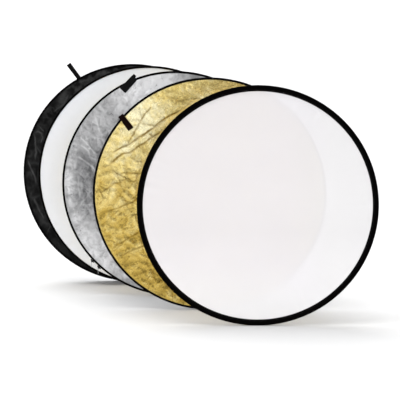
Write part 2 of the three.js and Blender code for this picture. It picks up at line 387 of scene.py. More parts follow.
def cloth_material(name, colours, noise_scale, pitch, roughness, sheen=0.2, line=None, bump_mm=0.06, specular=0.3, ends=(0.3, 0.7), foot_painted_light=1.0, head=1.0, painted_cool_top=None):
    n = Nodes(name)
    base = n.ramp(n.noise(noise_scale, 5, 0.6), [(ends[0], colours[0]), (ends[1], colours[1])])
    # painted light with height: the lower part is made brighter, filling the shade the neighbouring discs cast on it,
    # and head makes the top lighter as painted light
    axes = n.add("ShaderNodeSeparateXYZ")
    n.put(axes, 0, n.coords())
    drift = n.maths("MULTIPLY", n.range(axes.outputs["Z"], 0.06, 0.42, foot_painted_light, 1.0), n.range(axes.outputs["Z"], 0.74, 1.04, 1.0, head))
    scaled = n.add("ShaderNodeVectorMath")
    scaled.operation = "SCALE"
    n.put(scaled, 0, base)
    n.put(scaled, "Scale", drift)
    base = scaled.outputs[0]
    # painted light: a cooler top, set against the warm light the neighbouring gold faces throw onto the white cloth
    if painted_cool_top is not None:
        base = n.mix(n.range(axes.outputs["Z"], 0.70, 1.04, 0, 1), base, painted_cool_top)
    # crease marks in line[0]: on the black cloth a paler colour along the creases, partly wear, partly painted sheen
    if line is not None:
        base = n.mix(n.range(n.attribute("crease"), 0, 1, 0, line[1]), base, line[0])
    w = weave(n, pitch)
    fine = n.noise(900, 3, 0.6)
    normal = n.bump(w, bump_mm * MM, 0.7)
    normal = n.bump(fine, 0.05 * MM, 0.5, normal)
    rough = n.range(n.noise(noise_scale * 4, 4, 0.6), 0.3, 0.7, roughness[0], roughness[1])
    p = n.principled(Base_Color=base, Roughness=rough, Normal=normal)
    p.inputs["Sheen Weight"].default_value = sheen
    p.inputs["Sheen Roughness"].default_value = 0.45
    p.inputs["Specular IOR Level"].default_value = specular
    return n.finish(p)


def foil_material(name, pale, middle, deep, shadow, line, roughness, metallic, specks, spread=(1.0, 0.6), under=0.0):
    """Metallised cloth: satin, with a painted reflection of pale and deep patches, painted shade specks, and painted
    crease lines: shade on the gold, partly wear, and highlight on the silver.
    """
    n = Nodes(name)
    patch = n.noise(8, 5, 0.6, distortion=0.7)
    crumple = n.noise(30, 6, 0.64, distortion=1.0)
    # tone is the painted reflection: 0 where the foil is painted as reflecting dark, 1 where it is painted as
    # reflecting bright
    fac = n.maths("ADD", n.attribute("tone"), n.maths("MULTIPLY", n.maths("SUBTRACT", patch, 0.5), spread[0]))
    lively = n.maths("ADD", n.attribute("tone"), 0.8)
    raw = n.maths("ADD", fac, n.maths("MULTIPLY", n.maths("MULTIPLY", n.maths("SUBTRACT", crumple, 0.5), spread[1]), lively))
    fac = n.range(raw, 0, 1, 0, 1)
    base = n.ramp(fac, [(0.0, deep), (0.42, middle), (0.95, pale)])
    # painted shade: dark specks on the crumple noise's high spots, strongest where the painted reflection is deep
    deep_speck_gain = n.range(n.attribute("tone"), 0.18, 0.75, 1.0, 0.3)
    base = n.mix(n.maths("MULTIPLY", n.range(crumple, 0.54, 0.8, 0, specks), deep_speck_gain), base, shadow)
    # painted shade: where tone and noise fall below zero, low on the gold, the colour goes on towards the shadow colour
    base = n.mix(n.range(raw, -0.02, -0.40, 0, under), base, shadow)
    # crease marks: painted shade along the gold's creases, partly wear of its metallised layer; on the silver a pale
    # painted highlight
    base = n.mix(n.range(n.attribute("crease"), 0, 1, 0, line[1]), base, line[0])
    fine = n.noise(150, 5, 0.62, distortion=0.6)
    grain = n.noise(700, 3, 0.6)
    warp = n.add("ShaderNodeVectorMath")
    warp.operation = "ADD"
    n.put(warp, 0, n.coords())
    bend = n.add("ShaderNodeVectorMath")
    bend.operation = "SCALE"
    n.put(bend, 0, n.noise_colour(9, 3))
    bend.inputs["Scale"].default_value = 0.05
    n.put(warp, 1, bend)
    facets = n.add("ShaderNodeTexVoronoi")
    facets.feature = "DISTANCE_TO_EDGE"
    facets.inputs["Scale"].default_value = 15
    n.put(facets, "Vector", warp)
    facets2 = n.add("ShaderNodeTexVoronoi")
    facets2.feature = "DISTANCE_TO_EDGE"
    facets2.inputs["Scale"].default_value = 36
    n.put(facets2, "Vector", warp)
    relief = n.range(n.noise(6, 2, 0.5), 0.38, 0.62, 0.25, 1.0)
    normal = n.bump(n.maths("MULTIPLY", facets.outputs["Distance"], relief), 7.5 * MM, 0.8)
    normal = n.bump(n.maths("MULTIPLY", facets2.outputs["Distance"], relief), 2.9 * MM, 0.75, normal)
    normal = n.bump(crumple, 0.42 * MM, 0.6, normal)
    normal = n.bump(fine, 0.12 * MM, 0.5, normal)
    normal = n.bump(weave(n, 0.0011), 0.04 * MM, 0.5, normal)
    rough = n.range(n.maths("ADD", n.maths("MULTIPLY", crumple, 0.6), n.maths("MULTIPLY", grain, 0.4)), 0.35, 0.65, roughness[0], roughness[1])
    # where the painted reflection is pale, away from the crease marks, the foil is made less metallic: it scatters more
    # and mirrors less
    pale_reflection_unmetal = n.maths("MULTIPLY", n.range(fac, 0.25, 1.0, 0, 0.5), n.range(n.attribute("crease"), 0, 0.6, 1, 0))
    p = n.principled(Base_Color=base, Roughness=rough, Normal=normal, Metallic=n.maths("SUBTRACT", metallic, pale_reflection_unmetal))
    return n.finish(p)


def diffuser_material():
    """Thin translucent nylon, with its ripstop weave."""
    n = Nodes("diffuser_nylon")
    tone = n.noise(5, 4, 0.5)
    colour = n.ramp(tone, [(0.3, (0.793, 0.773, 0.799)), (0.7, (0.807, 0.787, 0.813))])
    # painted light and shade: brighter towards the bottom, greyer at the top and to the right
    axes = n.add("ShaderNodeSeparateXYZ")
    n.put(axes, 0, n.coords())
    cx, _, cz = (float(v) for v in CENTRE["diffuser"])
    foot_painted_light = n.range(axes.outputs["Z"], cz - 0.50, cz - 0.12, 1.125, 0.968)
    head = n.range(axes.outputs["Z"], cz + 0.05, cz + 0.50, 1.0, 0.945)
    right = n.range(axes.outputs["X"], cx + 0.05, cx + 0.48, 1.0, 0.957)
    plain = n.maths("MAXIMUM", n.range(axes.outputs["X"], cx + 0.12, cx + 0.34, 0, 1), n.range(axes.outputs["Z"], cz - 0.46, cz - 0.26, 1, 0))
    colour = n.mix(plain, colour, (0.802, 0.792, 0.800))
    drift = n.maths("MULTIPLY", foot_painted_light, n.maths("MULTIPLY", head, right))
    scaled = n.add("ShaderNodeVectorMath")
    scaled.operation = "SCALE"
    n.put(scaled, 0, colour)
    n.put(scaled, "Scale", drift)
    colour = scaled.outputs[0]
    w = weave(n, 0.0009)
    c = n.coords()
    # every few millimetres a thicker ripstop thread each way
    rip = n.maths("MAXIMUM", n.maths("GREATER_THAN", n.wave(1 / 0.005 / 3.18, c, "X"), 0.985), n.maths("GREATER_THAN", n.wave(1 / 0.005 / 3.18, c, "Z"), 0.985))
    height = n.maths("ADD", n.maths("MULTIPLY", w, 0.5), n.maths("MULTIPLY", rip, 0.5))
    normal = n.bump(height, 0.04 * MM, 0.5)
    p = n.principled(Base_Color=colour, Normal=normal)
    p.inputs["Roughness"].default_value = 0.62
    p.inputs["Sheen Weight"].default_value = 0.15
    p.inputs["Specular IOR Level"].default_value = 0.25
    t = n.add("ShaderNodeBsdfTranslucent")
    n.put(t, "Color", n.ramp(tone, [(0.3, (0.86, 0.86, 0.88)), (0.7, (0.89, 0.89, 0.91))]))
    n.put(t, "Normal", normal)
    m = n.add("ShaderNodeMixShader")
    m.inputs[0].default_value = 0.03
    n.put(m, 1, p)
    n.put(m, 2, t)
    clear = n.add("ShaderNodeBsdfTransparent")
    m2 = n.add("ShaderNodeMixShader")
    m2.inputs[0].default_value = 0.062
    n.put(m2, 1, m)
    n.put(m2, 2, clear)
    return n.finish(m2)


def tape_material(name, dark, light, rough=(0.62, 0.85)):
    """Woven polyester binding tape or webbing: a close herringbone."""
    n = Nodes(name)
    c = n.coords(rotate=(0, math.radians(45), 0))
    rib = n.wave(1 / 0.0016 / 3.18, c, "X", 1.2, 1)
    rib2 = n.wave(1 / 0.0011 / 3.18, c, "Z", 0.8, 1)
    height = n.maths("MULTIPLY", rib, rib2)
    lint = n.noise(420, 5, 0.7)
    broad = n.noise(14, 4, 0.6)
    fac = n.maths("ADD", n.maths("MULTIPLY", height, 0.45), n.maths("MULTIPLY", n.maths("MULTIPLY", lint, broad), 0.9))
    base = n.ramp(fac, [(0.12, dark), (0.75, light)])
    normal = n.bump(height, 0.22 * MM, 0.75)
    normal = n.bump(lint, 0.08 * MM, 0.4, normal)
    p = n.principled(Base_Color=base, Roughness=n.range(broad, 0.3, 0.7, rough[0], rough[1]), Normal=normal)
    p.inputs["Specular IOR Level"].default_value = 0.015
    return n.finish(p)


def metal_material(name, colours, roughness, metallic=1.0, scratch=0.3, coat=0.0, specular=0.5):
    n = Nodes(name)
    c = n.coords((1, 1, 12))
    streak = n.noise(220, 4, 0.6, coords=c)
    spot = n.noise(60, 4, 0.6)
    base = n.ramp(spot, [(0.3, colours[0]), (0.7, colours[1])])
    normal = n.bump(streak, 0.03 * MM, scratch)
    p = n.principled(Base_Color=base, Roughness=n.range(streak, 0.3, 0.7, roughness[0], roughness[1]), Normal=normal)
    p.inputs["Metallic"].default_value = metallic
    p.inputs["Coat Weight"].default_value = coat
    p.inputs["Coat Roughness"].default_value = 0.2
    p.inputs["Specular IOR Level"].default_value = specular
    return n.finish(p)


def thread_material(name, dark, light):
    n = Nodes(name)
    c = n.coords(rotate=(0, math.radians(35), 0))
    ply = n.wave(1 / 0.0004 / 3.18, c, "X")
    base = n.ramp(n.maths("MULTIPLY", ply, n.noise(300, 3, 0.6)), [(0.1, dark), (0.6, light)])
    p = n.principled(Base_Color=base, Normal=n.bump(ply, 0.05 * MM, 0.6), Roughness=n.range(ply, 0, 1, 0.4, 0.6))
    return n.finish(p)


# foil colours: pale, middle and deep for the painted reflection, a painted shade colour, then the crease line colour:
# dark painted shade on the gold, pale painted highlight on the silver
GOLD = foil_material(
    "gold_foil_cloth", (1.0, 0.93, 0.60), (0.87, 0.70, 0.27), (0.585, 0.41, 0.092), (0.31, 0.21, 0.045),
    ((0.285, 0.175, 0.022), 0.95), (0.17, 0.33), 0.94, 0.6, (0.7, 0.8), 0.9,
)
SILVER = foil_material(
    "silver_foil_cloth", (0.95, 0.95, 0.96), (0.54, 0.54, 0.545), (0.235, 0.235, 0.24), (0.16, 0.16, 0.165),
    ((0.92, 0.92, 0.93), 0.42), (0.26, 0.44), 0.92, 0.42, (0.5, 0.95),
)
WHITE = cloth_material("white_nylon", ((0.79, 0.815, 0.868), (0.815, 0.84, 0.89)), 6, 0.0009, (0.6, 0.75), 0.1, foot_painted_light=1.09, painted_cool_top=(0.80, 0.842, 0.935))
BLACK = cloth_material(
    "black_nylon", ((0.0004, 0.0004, 0.0004), (0.0125, 0.0125, 0.0125)), 26, 0.0010, (0.5, 0.72), 0.0,
    line=((0.09, 0.09, 0.09), 0.7), specular=0.1, ends=(0.41, 0.61), head=3.4,
)
DIFFUSER = diffuser_material()
TAPE = tape_material("binding_tape", (0.0004, 0.0003, 0.0003), (0.002, 0.0016, 0.0016))
WEBBING = tape_material("webbing", (0.003, 0.003, 0.003), (0.017, 0.0168, 0.0166))
BROWN = tape_material("brown_webbing", (0.0034, 0.0012, 0.001), (0.014, 0.0052, 0.0042))
THREAD = thread_material("black_thread", (0.001, 0.001, 0.001), (0.008, 0.008, 0.008))
COIL = metal_material("zip_coil_nylon", ((0.006, 0.006, 0.006), (0.014, 0.014, 0.014)), (0.35, 0.5), 0.0, 0.2)
STEEL = metal_material("blued_spring_steel", ((0.16, 0.17, 0.20), (0.26, 0.27, 0.30)), (0.25, 0.4), 1.0, 0.4)
SLEEVE = metal_material("plain_steel", ((0.50, 0.51, 0.52), (0.62, 0.63, 0.64)), (0.3, 0.5), 1.0, 0.4)
SLIDER = metal_material("black_slider_paint", ((0.002, 0.002, 0.002), (0.006, 0.006, 0.006)), (0.5, 0.65), 0.0, 0.25, 0.0, 0.06)
PULL = metal_material("nickel_plate", ((0.50, 0.51, 0.52), (0.62, 0.63, 0.64)), (0.16, 0.3), 1.0, 0.3)


# ---------------------------------------------------------------------------
# Cloth heights
# ---------------------------------------------------------------------------
def smooth01(t):
    t = np.clip(t, 0, 1)
    return t * t * (3 - 2 * t)


def cell_noise(x, z, size, seed):
    """F1 and F2 of jittered cells, each over the cell's size."""
    g = np.random.default_rng(seed)
    n = 256
    jx, jz = g.uniform(0.05, 0.95, (2, n, n))
    u, v = x / size + 100, z / size + 100
    iu, iv = np.floor(u).astype(int), np.floor(v).astype(int)
    f1, f2 = np.full(x.shape, 9.0), np.full(x.shape, 9.0)
    for du in (-1, 0, 1):
        for dv in (-1, 0, 1):
            a, b = iu + du, iv + dv
            d = np.hypot(a + jx[a % n, b % n] - u, b + jz[a % n, b % n] - v)
            f2 = np.minimum(f2, np.maximum(f1, d))
            f1 = np.minimum(f1, d)
    return f1, f2


def smooth_noise(x, z, size, seed):
    """Value noise from 0 to 1, one random value every size mm."""
    g = np.random.default_rng(seed)
    n = 128
    table = g.uniform(0, 1, (n, n))
    u, v = x / size + 300, z / size + 300
    iu, iv = np.floor(u).astype(int), np.floor(v).astype(int)
    fu, fv = smooth01(u - iu), smooth01(v - iv)
    a, b = table[iu % n, iv % n], table[(iu + 1) % n, iv % n]
    c, d = table[iu % n, (iv + 1) % n], table[(iu + 1) % n, (iv + 1) % n]
    return (a * (1 - fu) + b * fu) * (1 - fv) + (c * (1 - fu) + d * fu) * fv


def ridged(x, z, size, seed):
    """A net of winding lines: 1 on a line and less between them."""
    wx = x + size * 0.9 * (smooth_noise(x, z, size * 1.7, seed + 1) - 0.5)
    wz = z + size * 0.9 * (smooth_noise(x, z, size * 1.7, seed + 2) - 0.5)
    return 1 - np.abs(2 * smooth_noise(wx, wz, size, seed) - 1)


def folds(x, z, seed, bands):
    """Flat facets with sharp edges: straight folds that cross, wander and die away.
    bands: (length mm, depth mm, how many directions)."""
    g = np.random.default_rng(seed)
    h, valley = np.zeros(x.shape), np.zeros(x.shape)
    for length, depth, ways in bands:
        for _ in range(ways):
            a, p, s = g.uniform(0, np.pi), g.uniform(), int(g.integers(1, 9999))
            wx = x + length * 1.5 * (smooth_noise(x, z, length * 2.1, s) - 0.5)
            wz = z + length * 1.5 * (smooth_noise(x, z, length * 2.1, s + 1) - 0.5)
            u = (wx * math.cos(a) + wz * math.sin(a)) / length + p
            wave = 2 * np.abs(2 * (u - np.floor(u)) - 1) - 1
            here = smooth01(2.4 * smooth_noise(x, z, length * 1.5, s + 2) - 0.65)
            h += depth * wave * here
            # valley marks each fold's trough for the painted crease mark
            valley = np.maximum(valley, here * np.clip((-wave - 0.84) / 0.16, 0, 1))
    return h, valley


def crease_lines(x, z, lines):
    """Sharp folds along polylines, each with a painted crease mark: (points, height mm, half-width mm, darkness of the
    mark).
    """
    h, mark = np.zeros(x.shape), np.zeros(x.shape)
    # nothing in cloth is quite straight or even
    faint = 0.68 + 0.85 * smooth_noise(x, z, 24, 5)
    x, z = (
        x + 11 * (smooth_noise(x, z, 46, 1) - 0.5) + 4 * (smooth_noise(x, z, 15, 3) - 0.5),
        z + 11 * (smooth_noise(x, z, 46, 2) - 0.5) + 4 * (smooth_noise(x, z, 15, 4) - 0.5),
    )
    for pts, height, width, dark in lines:
        pts = np.asarray(pts, float)
        reach = 6 * width
        low, high = pts.min(0) - reach, pts.max(0) + reach
        near = np.nonzero((x > low[0]) & (x < high[0]) & (z > low[1]) & (z < high[1]))[0]
        if not len(near):
            continue
        px, pz = x[near], z[near]
        best, along = np.full(px.shape, 1e9), np.zeros(px.shape)
        lengths = np.hypot(*np.diff(pts, axis=0).T)
        total, done = lengths.sum(), 0.0
        for (a, b), length in zip(zip(pts[:-1], pts[1:]), lengths):
            t = np.clip(((px - a[0]) * (b[0] - a[0]) + (pz - a[1]) * (b[1] - a[1])) / max(length**2, 1e-9), 0, 1)
            d = np.hypot(px - a[0] - t * (b[0] - a[0]), pz - a[1] - t * (b[1] - a[1]))
            closer = d < best
            best, along = np.where(closer, d, best), np.where(closer, (done + t * length) / total, along)
            done += length
        taper = smooth01(np.minimum(along, 1 - along) * 6 + 0.08)
        h[near] += height * np.exp(-best / width) * taper
        # the mark is painted along the fold: shade on the gold, highlight on the silver and the black cloth, by their
        # materials
        mark[near] = np.maximum(mark[near], faint[near] * dark * np.exp(-((best / (1.9 + 0.29 * width)) ** 2)) * taper)
    return h, mark


def random_creases(seed, count, where, length, height, width, dark, slant=None, spread=0.6):
    """Straight or once-bent folds; where(x, z) is how likely one is there."""
    g = np.random.default_rng(seed)
    out = []
    while len(out) < count:
        r, a = R * math.sqrt(g.uniform(0, 0.95)), g.uniform(0, 2 * np.pi)
        x, z = r * math.cos(a), r * math.sin(a)
        chance, size, turn, bend = g.uniform(), g.uniform(), g.normal(), g.normal()
        amount, wide, tone, sign = g.uniform(), g.uniform(), g.uniform(), g.uniform()
        if chance > where(x, z):
            continue
        direction = (slant + turn * spread) if slant is not None else turn * 3
        ln = length[0] * (length[1] / length[0]) ** size
        d1 = np.array([math.cos(direction), math.sin(direction)])
        d2 = np.array([math.cos(direction + 0.35 * bend), math.sin(direction + 0.35 * bend)])
        mid = np.array([x, z])
        pts = [mid - d1 * ln / 2, mid, mid + d2 * ln / 2]
        hgt = (height[0] + (height[1] - height[0]) * amount) * (1 if sign > 0.4 else -1)
        out.append((pts, hgt, width[0] + (width[1] - width[0]) * wide, dark[0] + (dark[1] - dark[0]) * tone))
    return out


def rim_puckers(x, z, edge, seed, size, depth=22.0, low=50, high=130):
    """Radial gathers where the cloth is sewn to its binding."""
    r, t = np.hypot(x, z), np.arctan2(z, x)
    d = np.clip(edge - r, 0, None)
    return wobble_of(seed, low, high, 24, size)(t) * (d / depth) * np.exp(1 - d / depth)


# Long folds that every collapse leaves in the same places, (x, up) in mm.
GOLD_LINES = [
    ([(-525, 114), (-465, 150), (-382, 199), (-299, 252), (-277, 267), (-180, 330)], 1.3, 9, 0.85),
    ([(-477, 184), (-397, 229), (-337, 270), (-261, 316), (-205, 357), (-90, 430)], 1.5, 10, 0.9),
    ([(-397, 225), (-352, 297), (-299, 380), (-269, 421)], -1.0, 8, 0.7),
    ([(-461, 131), (-427, 74), (-410, 20)], 1.0, 7, 0.8),
    ([(-431, 104), (-337, 101), (-250, 90)], -0.9, 7, 0.7),
    ([(-435, 60), (-352, 82), (-280, 120)], 1.0, 7, 0.7),
    ([(-522, 3), (-439, 52), (-400, 60)], 1.2, 8, 0.85),
    ([(-393, 14), (-344, 74), (-320, 130)], 1.0, 6, 0.8),
    ([(-526, -87), (-473, -78), (-416, -58), (-367, -34), (-300, 0)], 1.2, 8, 0.85),
    ([(-469, -261), (-416, -227), (-367, -198), (-300, -150)], 1.1, 8, 0.85),
    ([(-435, -309), (-377, -275), (-329, -256), (-240, -230)], 1.1, 8, 0.85),
    ([(-478, 20), (-468, 45), (-444, 54), (-418, 42), (-411, 14), (-425, -12), (-452, -18)], 0.8, 6, 0.6),
    ([(-350, 360), (-300, 330), (-262, 318), (-225, 330)], 0.9, 9, 0.5),
    ([(-230, 470), (-150, 440), (-60, 452), (40, 440)], 0.9, 10, 0.5),
    ([(-60, 380), (80, 470)], 0.9, 9, 0.6),
    ([(60, -420), (230, -300), (380, -60)], 1.2, 10, 0.8),
    ([(0, -380), (190, -150), (420, 60)], -1.2, 10, 0.8),
    ([(-120, 60), (60, 200), (300, 330)], 1.3, 10, 0.8),
]
SILVER_LINES = [
    ([(-390, 350), (-381, 319), (-361, 262), (-352, 215)], 0.8, 8, 0.7),
    ([(-475, 150), (-466, 141), (-393, 76), (-350, 40)], 1.1, 8, 1.0),
    ([(-520, 190), (-514, 141), (-526, 44), (-517, -35), (-500, -120)], 1.0, 13, 0.55),
    ([(-474, 241), (-430, 200), (-372, 144)], 0.9, 7, 0.7),
    ([(-450, 215), (-400, 230), (-360, 225)], 0.7, 6, 0.6),
    ([(-462, 190), (-420, 165), (-398, 182)], 0.7, 5, 0.8),
    ([(-420, 175), (-410, 140), (-380, 120)], 0.6, 5, 0.7),
    ([(-464, -255), (-400, -330), (-313, -431)], 0.8, 14, 0.4),
    ([(-150, 300), (40, 180), (260, 40)], 1.1, 10, 0.7),
    ([(-60, -240), (140, -60), (330, 160)], -1.1, 10, 0.7),
]
BLACK_LINES = [
    ([(-505, 215), (-494, 174), (-485, 101), (-492, 60)], 0.7, 6, 0.8),
    ([(-540, 95), (-532, 67), (-498, -13), (-480, -60)], 0.8, 6, 0.9),
    ([(-498, 200), (-478, 214), (-458, 200), (-452, 172), (-466, 152)], 0.6, 5, 0.8),
    ([(-500, -110), (-480, -170), (-440, -240)], 0.7, 7, 0.6),
    ([(-330, 440), (-280, 455), (-210, 470)], 0.6, 7, 0.6),
    ([(-420, 330), (-400, 360), (-350, 400)], 0.6, 7, 0.5),
    ([(-200, 200), (100, 260), (300, 200)], 0.9, 9, 0.6),
    ([(-150, -250), (60, -120), (330, -200)], 0.9, 9, 0.6),
]


def foil_height(x, z, lines, seed, dense, strength=1.0, count=170):
    """Heights, in mm, and painted crease marks (shade and highlight) of a crumpled metallised face."""
    h, mark = crease_lines(x, z, lines)
    more = random_creases(seed, count, dense, (35, 190), (0.3, 1.0), (3.5, 8), (0.2, 0.75), slant=0.6, spread=0.9)
    h2, m2 = crease_lines(x, z, more)
    h, mark = h + h2 * strength, np.maximum(mark, m2 * strength)
    where = np.vectorize(dense)(x, z)
    for size, amount, k in ((66, 2.4, 1), (36, 1.6, 2), (21, 0.8, 3)):
        f1, f2 = cell_noise(x + 9 * np.sin(z / 37), z + 9 * np.sin(x / 41), size, seed + k)
        h += amount * strength * (0.2 + 0.8 * where) * (np.minimum(f2 - f1, 0.8) - 0.3)
    # crumpling, close together where the face is most handled
    share = 0.10 + 0.90 * where
    h3, valley = folds(x, z, seed + 40, ((125, 1.6, 3), (74, 1.15, 3), (43, 0.65, 3), (25, 0.28, 2)))
    h += strength * share * h3 - 0.5 * strength
    # the crumpling's troughs carry the painted crease mark as well
    mark = np.maximum(mark, 0.52 * strength * where * valley)
    r, t = np.hypot(x, z), np.arctan2(z, x)
    g = wobble_of(seed + 9, 2, 7, 6, 1.0)
    h += 0.8 * g(t) * smooth01(r / 300)
    return h, mark


def cloth_height(x, z, seed, size=1.0):
    """Broad, soft undulation of a stretched plain cloth."""
    g = np.random.default_rng(seed)
    h = np.zeros(x.shape)
    for _ in range(14):
        k, a, p = g.uniform(0.004, 0.022), g.uniform(0, np.pi), g.uniform(0, 2 * np.pi)
        h += math.sqrt(0.006 / k) * 0.16 * np.sin(k * (x * math.cos(a) + z * math.sin(a)) + p)
    return h * size


def face_panel(disc, side, node, material, spacing, height, tone, edge=546.0, base=5.2):
    """One face's cloth: side is 1 for the front and -1 for the back."""
    pts, faces = round_sheet(edge, spacing)
    x, z = pts[:, 0], pts[:, 1]
    h, mark = height(x * side, z)
    r = np.hypot(x, z)
    inside = smooth01((540.5 - r) / 22)
    h = h * inside
    h = np.where(h < 0, 3.0 * np.tanh(h / 3.0), 1.45 * np.tanh(h / 1.45))
    h += rim_puckers(x, z, 540.0, 77 + len(disc) + side, 0.32, 15) * smooth01((541 - r) / 3)
    h = np.minimum(h, 1.5)
    verts = place(np.stack([x, side * (base + h), z], -1), disc)
    faces = faces[:, ::-1] if side > 0 else faces
    # the front's faces look out of the front
    a, b, c = (verts[faces[0, i]] for i in range(3))
    if np.dot(np.cross(b - a, c - a), OUT) * side < 0:
        faces = faces[:, ::-1]
    # crease holds the painted crease marks; tone is the painted reflection, made paler on the crumple's ridges and
    # deeper in its hollows as painted shade
    marks = {"crease": mark * inside}
    if tone is not None:
        marks["tone"] = tone(x * side, z) + 0.13 * np.clip(h + 0.5, -1.5, 1.5)
    ob = new_mesh(f"{node}_cloth", verts, [faces], marks)
    finish_piece(ob, f"{disc}_disc", material, [node])
    return ob


# ---------------------------------------------------------------------------
# Sewing thread, as short stitches
# ---------------------------------------------------------------------------
def stitches(name, disc, seams, radius=0.3, length=3.1, pitch=4.3):
    """seams: (rim radius, front, side) rows; each stitch is a small rounded bead."""
    verts, faces, first = [], [], 0
    k = 5
    ring_a = np.arange(k) * 2 * np.pi / k
    for rr, front, side in seams:
        n = int(2 * np.pi * rr / pitch)
        t = (np.arange(n) + 0.5 * (side > 0)) * 2 * np.pi / n
        radial = np.stack([np.cos(t), np.zeros(n), np.sin(t)], -1)
        tangent = np.stack([-np.sin(t), np.zeros(n), np.cos(t)], -1)
        out = np.array([0, 1.0, 0])
        centre = radial * rr + out * front * side
        rows = []
        for along, size, sink in ((-0.5, 0.0, -0.35), (-0.36, 0.8, 0.0), (0.36, 0.8, 0.0), (0.5, 0.0, -0.35)):
            at = centre + tangent * along * length + out * sink * side * radius * 2
            if size == 0:
                rows.append(at[:, None, :])
            else:
                c, s = np.cos(ring_a)[None, :, None], np.sin(ring_a)[None, :, None]
                rows.append(at[:, None, :] + radius * (radial[:, None, :] * c + out * s))
        block = np.concatenate(rows, 1)  # (n, 1 + k + k + 1, 3)
        per = block.shape[1]
        base = first + np.arange(n)[:, None] * per
        i = np.arange(k)
        j = (i + 1) % k
        turn = 1 if side > 0 else 1
        tri1 = np.stack([base + 0 * i, base + 1 + j, base + 1 + i], -1).reshape(-1, 3)
        quad = np.stack([base + 1 + i, base + 1 + j, base + 1 + k + j, base + 1 + k + i], -1).reshape(-1, 4)
        tri2 = np.stack([base + 1 + 2 * k + 0 * i, base + 1 + k + i, base + 1 + k + j], -1).reshape(-1, 3)
        verts.append(block.reshape(-1, 3))
        faces += [tri1, quad, tri2]
        first += n * per
    verts = place(np.concatenate(verts), disc)
    return new_mesh(name, verts, outward(verts, faces))


# ---------------------------------------------------------------------------
# The diffuser
# ---------------------------------------------------------------------------
def half_section(outer, inner):
    """A symmetric tape section from its front half's outer and inner lines."""
    outer, inner = np.asarray(outer, float), np.asarray(inner, float)
    flip = np.array([1, -1])
    return np.concatenate([outer, (outer * flip)[::-1], inner * flip, inner[::-1]])


def make_diffuser():
    disc = "diffuser"

    def folding(ob, material, nodes=()):
        finish_piece(ob, "diffuser", material, nodes)
        # the piece is left with no parent, its placement baked into its vertices
        ob.parent = None
        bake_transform(ob)
        return ob

    gather = wobble_of(3, 60, 300, 40, 0.16)
    drift = wobble_of(4, 3, 24, 14, 0.22)

    def shift(t, r, f):
        away = np.clip((r - 522) / 28, 0, 1)
        soft = 0.35 + 0.65 * np.clip(1 - np.abs(r - 532) / 14, 0, 1)
        sign = np.sign(f)
        return drift(t) * 0.5 * (away * 0.6 + 0.2), gather(t) * soft * sign * np.clip(np.abs(f) - 0.6, 0, 1.2)

    section = half_section(
        [(522.5, 0.62), (522.8, 1.15), (523.8, 1.6), (526.5, 2.15), (531, 3.2), (536, 4.45), (540.5, 5.5),
         (544.5, 6.0), (547.6, 5.8), (549.2, 4.9), (549.9, 3.4), (550.0, 1.7)],
        [(523.4, 0.5), (524.6, 0.9), (527, 1.4), (531, 2.35), (536, 3.6), (540.5, 4.65), (544.5, 5.1),
         (547.2, 4.95), (548.4, 4.3), (549.0, 3.1), (549.1, 1.6)],
    )
    # half_section lays the points out as outer front, outer back, inner back, inner front
    binding = ring("diffuser_binding_tape", disc, section, 720, shift=shift)
    folding(binding, TAPE, ["diffuser_binding_left", "diffuser_binding_right"])

    band = [(545.0, -4), (546.0, -4), (546.0, 4), (545.0, 4)]
    hoop = ring("diffuser_hoop_band", disc, band, 360, floor=False)
    folding(hoop, STEEL, ["diffuser_hoop_left", "diffuser_hoop_right"])

    pts, faces = round_sheet(543.5, 5.0)
    x, z = pts[:, 0], pts[:, 1]
    r = np.hypot(x, z)
    h = cloth_height(x, z, 21, 0.9) * smooth01((521 - r) / 60) + rim_puckers(x, z, 522, 22, 0.42, 26, 34, 90) * smooth01((522 - r) / 4)
    verts = place(np.stack([x, h, z], -1), disc)
    a, b, cc = (verts[faces[0, i]] for i in range(3))
    if np.dot(np.cross(b - a, cc - a), OUT) < 0:
        faces = faces[:, ::-1]
    panel = new_mesh("diffuser_cloth", verts, [faces])
    folding(panel, DIFFUSER, ["diffuser_panel_left", "diffuser_panel_right"])

    sewing = stitches("diffuser_binding_stitching", disc, [(525.6, 2.12, 1), (525.6, 2.12, -1), (529.4, 3.0, 1), (529.4, 3.0, -1)])
    folding(sewing, THREAD)


# ---------------------------------------------------------------------------
# Splices, zips, sliders, pulls and straps
# ---------------------------------------------------------------------------
def at_rim(points, deg, radius):
    """(u, front, w): u clockwise along the rim, w outwards from the radius, to disc mm."""
    p = np.asarray(points, float)
    a = math.radians(deg)
    rad = np.array([math.cos(a), 0, math.sin(a)])
    tan = np.array([math.sin(a), 0, -math.cos(a)])
    out = np.array([0, 1.0, 0])
    return p[:, :1] * tan + p[:, 1:2] * out + (p[:, 2:] + radius) * rad


def make_splice(disc, deg, node, body):
    """A thin sleeve crimped round the band's two ends, with four punched dimples."""
    k, steps = 24, 41
    us = np.linspace(-20, 20, steps)
    rows = []
    for layer, (hw, hn) in (("outer", (1.2, 4.7)), ("inner", (0.85, 4.35))):
        order = us if layer == "outer" else us[::-1]
        for u in order:
            t = np.arange(k) * 2 * np.pi / k
            # a rounded rectangle
            e = 0.22
            w = hw * np.sign(np.cos(t)) * np.abs(np.cos(t)) ** e
            n = hn * np.sign(np.sin(t)) * np.abs(np.sin(t)) ** e
            dimple = sum(math.exp(-(((u - d) / 1.6) ** 2)) for d in (-14, -6, 6, 14))
            w = w - np.sign(w) * 0.22 * dimple * np.clip(1 - np.abs(n) / 3.2, 0, 1)
            rows.append(np.stack([np.full(k, u), n, w], -1))
    p = np.concatenate(rows)
    faces = [grid_faces(2 * steps, k, True, True)]
    verts = place(at_rim(p, deg, 545.5), disc)
    ob = new_mesh(f"{node}_sleeve", verts, outward(verts, faces))
    return finish_piece(ob, body, SLEEVE, [node])


